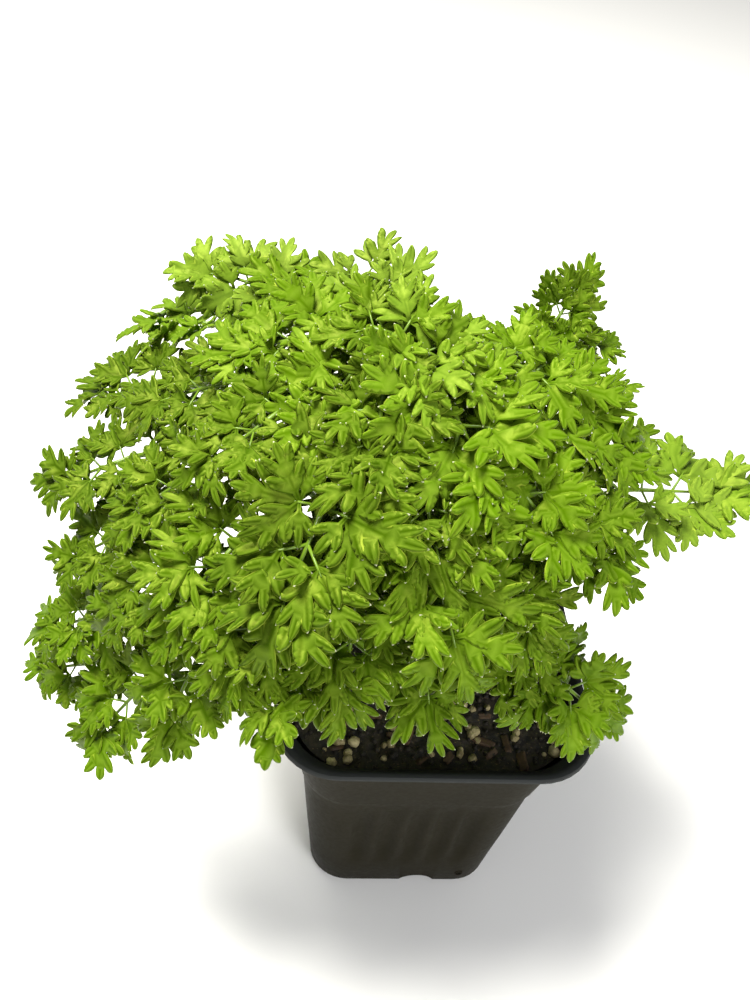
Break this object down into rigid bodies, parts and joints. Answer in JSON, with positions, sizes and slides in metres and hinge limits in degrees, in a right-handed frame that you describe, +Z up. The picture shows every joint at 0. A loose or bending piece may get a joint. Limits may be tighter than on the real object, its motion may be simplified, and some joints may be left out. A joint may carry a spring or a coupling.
{
  "type": "potted parsley plant",
  "caption": "Bushy cut-leaf parsley plant in a small square black plastic nursery pot, its stalks arching out of the potting mix.",
  "frame": {"origin": "centre of the pot's flat underside, where it stands", "axes": "+Z up; the pot's sides face along X and Y, -Y is the front, towards which the foliage turns"},
  "size_m": [0.2074, 0.1708, 0.2101],
  "materials": {
    "pot_plastic": "satin",
    "potting_mix": "matte",
    "rootstock": "satin",
    "mature_leaf": "satin",
    "young_leaf": "satin",
    "shaded_leaf": "satin"
  },
  "bodies": {
    "root": {"nursery_pot": "pot_plastic", "potting_mix": "potting_mix", "crown_and_taproot": "rootstock", "leaf_inner_1": "shaded_leaf", "leaf_inner_2": "shaded_leaf", "leaf_inner_3": "shaded_leaf", "leaf_top_1": "young_leaf", "leaf_top_2": "young_leaf", "leaf_top_3": "young_leaf", "leaf_top_4": "young_leaf", "leaf_top_5": "young_leaf", "leaf_top_6": "young_leaf", "leaf_top_7": "young_leaf", "leaf_top_8": "young_leaf", "leaf_tall_1": "mature_leaf", "leaf_tall_2": "mature_leaf", "leaf_tall_3": "mature_leaf", "leaf_tall_4": "mature_leaf", "leaf_left_1": "mature_leaf", "leaf_left_2": "mature_leaf", "leaf_left_3": "mature_leaf", "leaf_left_4": "mature_leaf", "leaf_left_5": "mature_leaf", "leaf_left_6": "mature_leaf", "leaf_left_7": "mature_leaf", "leaf_left_8": "mature_leaf", "leaf_front_1": "mature_leaf", "leaf_front_2": "mature_leaf", "leaf_front_3": "mature_leaf", "leaf_front_4": "mature_leaf", "leaf_front_5": "mature_leaf", "leaf_front_6": "mature_leaf", "leaf_front_7": "mature_leaf", "leaf_front_8": "mature_leaf", "leaf_front_9": "mature_leaf", "leaf_right_1": "mature_leaf", "leaf_right_2": "mature_leaf", "leaf_right_3": "mature_leaf", "leaf_right_4": "mature_leaf", "leaf_right_5": "mature_leaf", "leaf_right_6": "mature_leaf", "leaf_trailing_1": "young_leaf", "leaf_trailing_2": "young_leaf", "leaf_trailing_3": "young_leaf", "leaf_trailing_4": "young_leaf", "leaf_trailing_5": "young_leaf", "leaf_back_1": "mature_leaf", "leaf_back_2": "mature_leaf", "leaf_back_3": "mature_leaf", "leaf_back_4": "mature_leaf", "leaf_back_5": "mature_leaf", "leaf_back_6": "mature_leaf", "leaf_back_7": "mature_leaf", "leaf_back_8": "mature_leaf", "leaf_back_9": "mature_leaf"}
  },
  "joints": []
}
